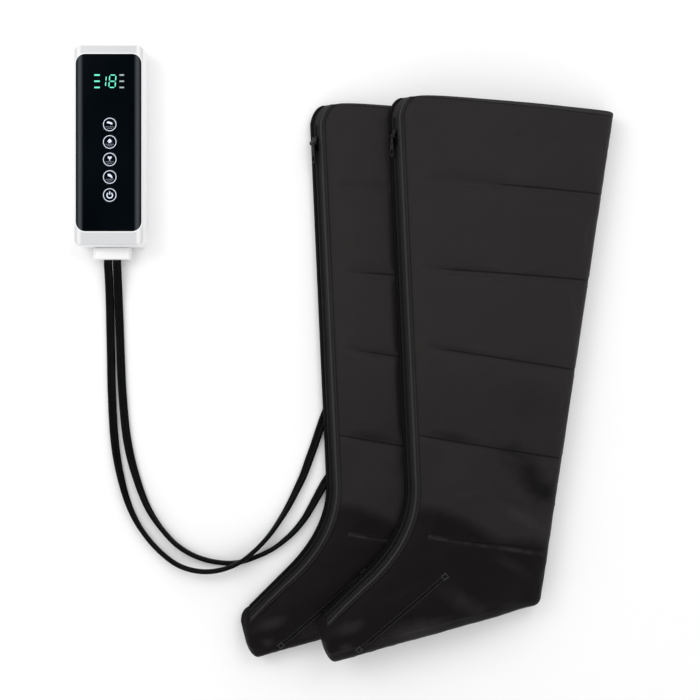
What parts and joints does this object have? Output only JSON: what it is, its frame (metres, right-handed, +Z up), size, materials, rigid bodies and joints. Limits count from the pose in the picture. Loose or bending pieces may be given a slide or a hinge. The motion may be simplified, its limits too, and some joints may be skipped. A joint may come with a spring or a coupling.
{
  "type": "air compression leg massager",
  "caption": "Soft zip-up full-leg boots lined with air bladders, fed through flat hoses by a hand controller with press keys and a digit display.",
  "frame": {"origin": "middle of the set's footprint, on the surface it lies on", "axes": "+Y along the legs towards the boot mouths, +Z up from the surface, +X to the right with the controller on the left"},
  "size_m": [0.6263, 0.7162, 0.0686],
  "materials": {
    "cover": "smooth coated nylon",
    "lining": "matt polyester lining",
    "bladder": "welded film",
    "binding": "woven binding tape",
    "zipper": "coil zipper",
    "slider": "polished",
    "hose": "satin",
    "housing": "satin white",
    "face": "glossy",
    "key": "glossy",
    "board": "solder mask",
    "cell": "shrink film",
    "metal": "plain",
    "dark": "moulded"
  },
  "bodies": {
    "massager": {"left_outer_cover": "cover", "left_mouth_binding": "binding", "left_inner_lining": "lining", "left_thigh_bladder": "bladder", "left_calf_bladder": "bladder", "left_foot_bladder": "bladder", "left_near_binding": "binding", "left_far_binding": "binding", "left_zipper": "zipper", "left_hose_inlet": "hose", "left_hose": "hose", "right_outer_cover": "cover", "right_mouth_binding": "binding", "right_inner_lining": "lining", "right_thigh_bladder": "bladder", "right_calf_bladder": "bladder", "right_foot_bladder": "bladder", "right_near_binding": "binding", "right_far_binding": "binding", "right_zipper": "zipper", "right_hose_inlet": "hose", "right_hose": "hose", "rear_housing": "housing", "front_housing": "housing", "face_plate": "face", "control_board": "board", "display_module": "dark", "battery_pack": "cell", "pump_motor": "metal", "pump_head": "dark", "valve_manifold": "dark", "pump_tube": "hose", "hose_gland": "housing", "charging_port": "metal", "valve_1": "metal", "rear_screw_1": "metal", "valve_2": "metal", "rear_screw_2": "metal", "valve_3": "metal", "rear_screw_3": "metal", "valve_4": "metal", "rear_screw_4": "metal"},
    "left_slider": {"left_zip_slider": "slider"},
    "left_pull": {"left_zip_pull": "slider"},
    "right_slider": {"right_zip_slider": "slider"},
    "right_pull": {"right_zip_pull": "slider"},
    "foot_key_body": {"foot_key": "key"},
    "heat_key_body": {"heat_key": "key"},
    "intensity_key_body": {"intensity_key": "key"},
    "mode_key_body": {"mode_key": "key"},
    "power_key_body": {"power_key": "key"},
    "crank": {"pump_crank": "metal"},
    "plunger_1": {"valve_plunger_1": "dark"},
    "plunger_2": {"valve_plunger_2": "dark"},
    "plunger_3": {"valve_plunger_3": "dark"},
    "plunger_4": {"valve_plunger_4": "dark"}
  },
  "joints": [
    {"name": "left_zip_slide", "type": "slide", "parent": "massager", "child": "left_slider", "axis": [0.0446, -0.999, 0], "range_m": [0, 0.37]},
    {"name": "left_pull_swing", "type": "hinge", "parent": "left_slider", "child": "left_pull", "pos_m": [-0.03487, 0.24618, 0.01993], "axis": [-0.6228, -0.0278, -0.7819], "range_deg": [0, 180]},
    {"name": "right_zip_slide", "type": "slide", "parent": "massager", "child": "right_slider", "axis": [0.0446, -0.999, 0], "range_m": [0, 0.37]},
    {"name": "right_pull_swing", "type": "hinge", "parent": "right_slider", "child": "right_pull", "pos_m": [0.05613, 0.24848, 0.05453], "axis": [-0.6228, -0.0278, -0.7819], "range_deg": [0, 180]},
    {"name": "foot_key_press", "type": "slide", "parent": "massager", "child": "foot_key_body", "axis": [0, 0, -1], "range_m": [0, 0.0005], "stiffness_N_per_m": 1500},
    {"name": "heat_key_press", "type": "slide", "parent": "massager", "child": "heat_key_body", "axis": [0, 0, -1], "range_m": [0, 0.0005], "stiffness_N_per_m": 1500},
    {"name": "intensity_key_press", "type": "slide", "parent": "massager", "child": "intensity_key_body", "axis": [0, 0, -1], "range_m": [0, 0.0005], "stiffness_N_per_m": 1500},
    {"name": "mode_key_press", "type": "slide", "parent": "massager", "child": "mode_key_body", "axis": [0, 0, -1], "range_m": [0, 0.0005], "stiffness_N_per_m": 1500},
    {"name": "power_key_press", "type": "slide", "parent": "massager", "child": "power_key_body", "axis": [0, 0, -1], "range_m": [0, 0.0005], "stiffness_N_per_m": 1500},
    {"name": "pump_crank_spin", "type": "hinge", "parent": "massager", "child": "crank", "pos_m": [-0.2859, 0.2308, 0.0125], "axis": [0, 1, 0], "continuous": true},
    {"name": "valve_plunger_1_slide", "type": "slide", "parent": "massager", "child": "plunger_1", "axis": [0, -1, 0], "range_m": [0, 0.0008], "stiffness_N_per_m": 400},
    {"name": "valve_plunger_2_slide", "type": "slide", "parent": "massager", "child": "plunger_2", "axis": [0, -1, 0], "range_m": [0, 0.0008], "stiffness_N_per_m": 400},
    {"name": "valve_plunger_3_slide", "type": "slide", "parent": "massager", "child": "plunger_3", "axis": [0, -1, 0], "range_m": [0, 0.0008], "stiffness_N_per_m": 400},
    {"name": "valve_plunger_4_slide", "type": "slide", "parent": "massager", "child": "plunger_4", "axis": [0, -1, 0], "range_m": [0, 0.0008], "stiffness_N_per_m": 400}
  ]
}
